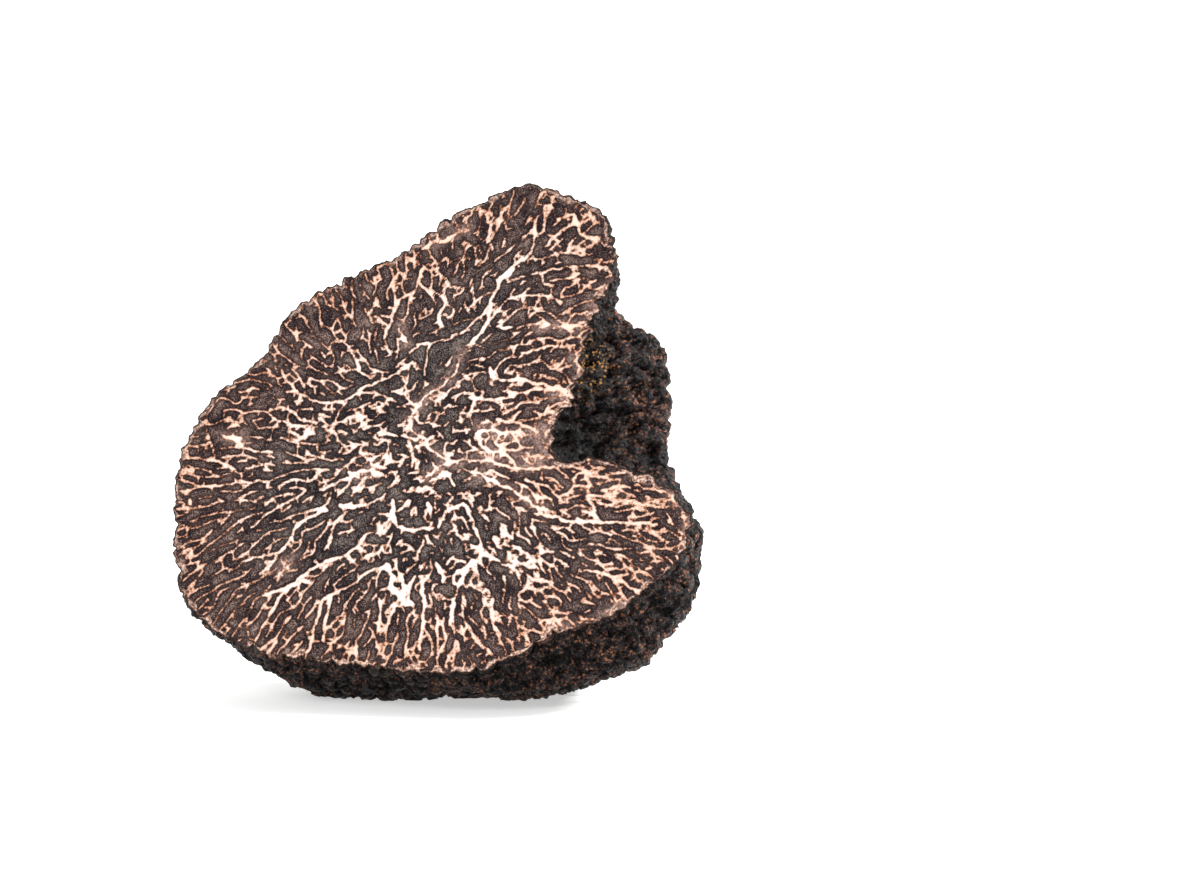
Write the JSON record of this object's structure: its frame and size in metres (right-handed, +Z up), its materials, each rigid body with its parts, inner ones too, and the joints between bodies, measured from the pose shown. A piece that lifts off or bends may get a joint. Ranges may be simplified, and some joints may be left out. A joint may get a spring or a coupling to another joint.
{
  "type": "black truffle half",
  "caption": "Half of a lumpy black truffle, sliced once: flat marbled cut face leaning back, warty rounded rind behind it, and a cleft between two lobes.",
  "frame": {"origin": "under the middle of the bounding box, on the surface that the half rests on", "axes": "+Z up; +X to the right along the length of the cut as seen from the front; -Y out of the cut face, which leans back 25 degrees and is turned 11 degrees to the left"},
  "size_m": [0.0602, 0.0378, 0.0588],
  "materials": {
    "truffle": "matte; near-black warty rind, and dark brown flesh with cream veins on the cut"
  },
  "bodies": {
    "root": {"truffle_half": "truffle"}
  },
  "joints": []
}
